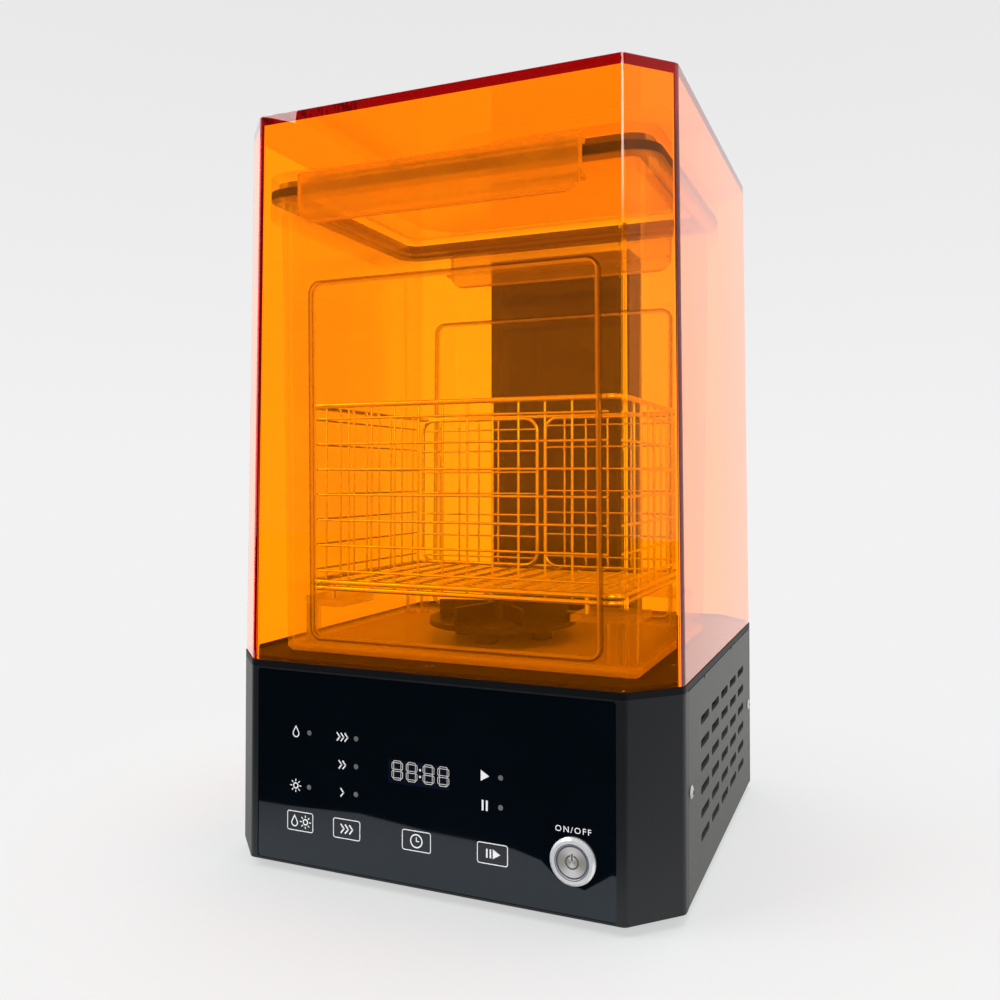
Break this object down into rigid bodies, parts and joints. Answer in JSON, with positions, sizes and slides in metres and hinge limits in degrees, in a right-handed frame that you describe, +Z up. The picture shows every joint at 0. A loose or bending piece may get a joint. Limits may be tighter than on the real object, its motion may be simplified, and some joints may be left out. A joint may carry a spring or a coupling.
{
  "type": "dental lab light curing unit",
  "caption": "Wash and cure station: black base with touch panel and push button, octagonal orange hood, lidded wash bucket, wire basket, magnetic stirrer and lamp column.",
  "frame": {"origin": "bottom centre, on the surface that the feet stand on", "axes": "+Z up, the touch panel faces -Y, +X to the viewer's right"},
  "size_m": [0.2346, 0.2332, 0.372],
  "materials": {
    "orange_acrylic": "polished transparent orange acrylic",
    "black_powder_coat": "fine matte black powder coat",
    "side_panel_coat": "fine textured dark grey powder coat",
    "black_screw": "black countersunk screw",
    "steel_screw": "bright steel screw",
    "rubber_foot": "matte",
    "panel_gloss": "gloss black acrylic overlay",
    "display_gloss": "smoked gloss lens",
    "dark_plastic": "satin",
    "circuit_board": "green solder mask",
    "led_lens": "unlit diffuse lens",
    "brass_pad": "bright",
    "button_chrome": "polished",
    "button_steel": "fine turned",
    "symbol_lens": "translucent light guide",
    "motor_steel": "satin",
    "bracket_aluminium": "satin",
    "magnet_nickel": "nickel plated",
    "column_plastic": "satin black",
    "lamp_glass": "clear cover",
    "lamp_board_aluminium": "white solder mask",
    "lamp_led": "clear dome on yellow package",
    "frosted_bucket": "translucent moulded container",
    "frosted_lid": "translucent moulded lid",
    "clear_flap": "translucent moulded flap",
    "gasket_rubber": "dark silicone",
    "impeller_plastic": "satin black",
    "basket_wire": "electropolished stainless wire",
    "pin_steel": "ground"
  },
  "bodies": {
    "base": {"deck": "black_powder_coat", "deck_screws": "black_screw", "front_frame": "black_powder_coat", "rear_frame": "black_powder_coat", "side_panel_left": "side_panel_coat", "side_panel_right": "side_panel_coat", "side_screws": "steel_screw", "bottom_tray": "black_powder_coat", "feet": "rubber_foot", "front_panel": "panel_gloss", "display_lens": "display_gloss", "display_module": "dark_plastic", "display_board": "circuit_board", "indicator_leds": "led_lens", "touch_pads": "brass_pad", "button_bezel": "button_chrome", "button_nut": "button_chrome", "button_switch": "dark_plastic", "control_board": "circuit_board", "board_parts": "dark_plastic", "power_inlet": "dark_plastic", "fan_frame": "dark_plastic", "motor": "motor_steel", "motor_bracket": "bracket_aluminium", "lamp_column": "column_plastic", "column_cap": "column_plastic", "lamp_window": "lamp_glass", "lamp_board": "lamp_board_aluminium", "lamp_leds": "lamp_led", "lamp_heatsink": "bracket_aluminium"},
    "power_button": {"button_cap": "button_steel", "power_symbol": "symbol_lens"},
    "fan": {"fan_rotor": "dark_plastic"},
    "stirrer_drive": {"drive_shaft": "motor_steel", "magnet_carrier": "bracket_aluminium", "drive_magnets": "magnet_nickel"},
    "wash_bucket": {"bucket": "frosted_bucket", "basket_shelves": "frosted_bucket", "stir_pin": "pin_steel", "impeller_cap": "impeller_plastic"},
    "stirrer": {"impeller": "impeller_plastic", "impeller_magnets": "magnet_nickel"},
    "wire_basket": {"basket_rim": "basket_wire", "basket_base": "basket_wire", "basket_front": "basket_wire", "basket_left": "basket_wire", "basket_right": "basket_wire", "basket_rear_left": "basket_wire", "basket_rear_right": "basket_wire", "basket_floor": "basket_wire"},
    "bucket_lid": {"lid": "frosted_lid", "gasket": "gasket_rubber", "front_flap_pin": "pin_steel", "rear_flap_pin": "pin_steel"},
    "front_lock": {"front_flap": "clear_flap"},
    "rear_lock": {"rear_flap": "clear_flap"},
    "cover": {"hood": "orange_acrylic"}
  },
  "joints": [
    {"name": "bucket_lift", "type": "slide", "parent": "base", "child": "wash_bucket", "axis": [0, 0, 1], "range_m": [0, 0.25]},
    {"name": "basket_lift", "type": "slide", "parent": "wash_bucket", "child": "wire_basket", "axis": [0, 0, 1], "range_m": [0, 0.22]},
    {"name": "lid_lift", "type": "slide", "parent": "wire_basket", "child": "bucket_lid", "axis": [0, 0, 1], "range_m": [0, 0.06]},
    {"name": "hood_lift", "type": "slide", "parent": "bucket_lid", "child": "cover", "axis": [0, 0, 1], "range_m": [0, 0.26]},
    {"name": "stirrer_spin", "type": "hinge", "parent": "wash_bucket", "child": "stirrer", "pos_m": [0, -0.0215, 0.11], "axis": [0, 0, 1], "continuous": true},
    {"name": "drive_spin", "type": "hinge", "parent": "base", "child": "stirrer_drive", "pos_m": [0, -0.0215, 0.09], "axis": [0, 0, 1], "continuous": true},
    {"name": "fan_spin", "type": "hinge", "parent": "base", "child": "fan", "pos_m": [-0.048, 0.1, 0.05], "axis": [0, 1, 0], "continuous": true},
    {"name": "button_press", "type": "slide", "parent": "base", "child": "power_button", "axis": [0, 1, 0], "range_m": [0, 0.0015], "stiffness_N_per_m": 600, "springref_m": -0.002},
    {"name": "front_lock_swing", "type": "hinge", "parent": "bucket_lid", "child": "front_lock", "pos_m": [0, -0.1033, 0.3404], "axis": [-1, 0, 0], "range_deg": [0, 4]},
    {"name": "rear_lock_swing", "type": "hinge", "parent": "bucket_lid", "child": "rear_lock", "pos_m": [0, 0.0603, 0.3404], "axis": [1, 0, 0], "range_deg": [0, 4]}
  ],
  "couplings": [
    {"joint": "stirrer_spin", "follows": "drive_spin", "ratio": 1}
  ]
}
